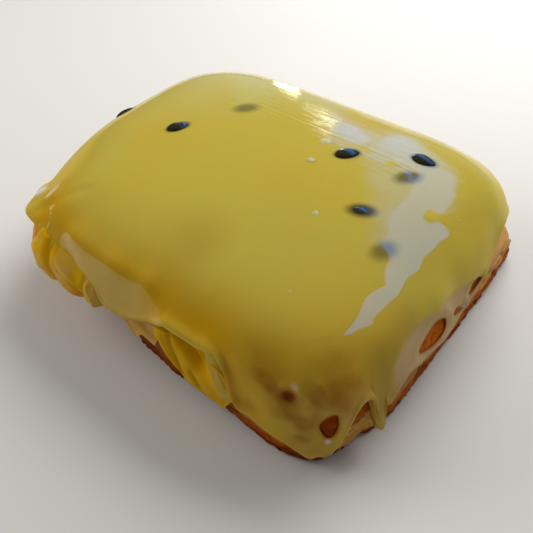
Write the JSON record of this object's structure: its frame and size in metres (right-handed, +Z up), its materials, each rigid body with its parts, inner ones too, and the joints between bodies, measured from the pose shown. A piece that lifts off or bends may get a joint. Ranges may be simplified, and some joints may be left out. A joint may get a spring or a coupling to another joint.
{
  "type": "vanilla slice",
  "caption": "Custard slice between two browned pastry sheets under a domed skin of dripping yellow icing with dark seeds; sits flat on its base.",
  "frame": {"origin": "middle of the flat underside of the lower pastry sheet", "axes": "+X along the long side towards the iced short end, +Z up, so -Y faces the long side where custard shows"},
  "size_m": [0.1024, 0.0831, 0.0311],
  "materials": {
    "base_crust": "dry flaky baked crust, dark brown below and tan above",
    "custard": "moist set custard",
    "top_crust": "golden baked crust with small blisters",
    "icing": "wet, slightly translucent poured icing",
    "seed": "shiny dark fruit seed",
    "film": "thin pale set glaze"
  },
  "bodies": {
    "root": {"pastry_base": "base_crust", "custard": "custard", "pastry_top": "top_crust", "icing": "icing"}
  },
  "joints": []
}
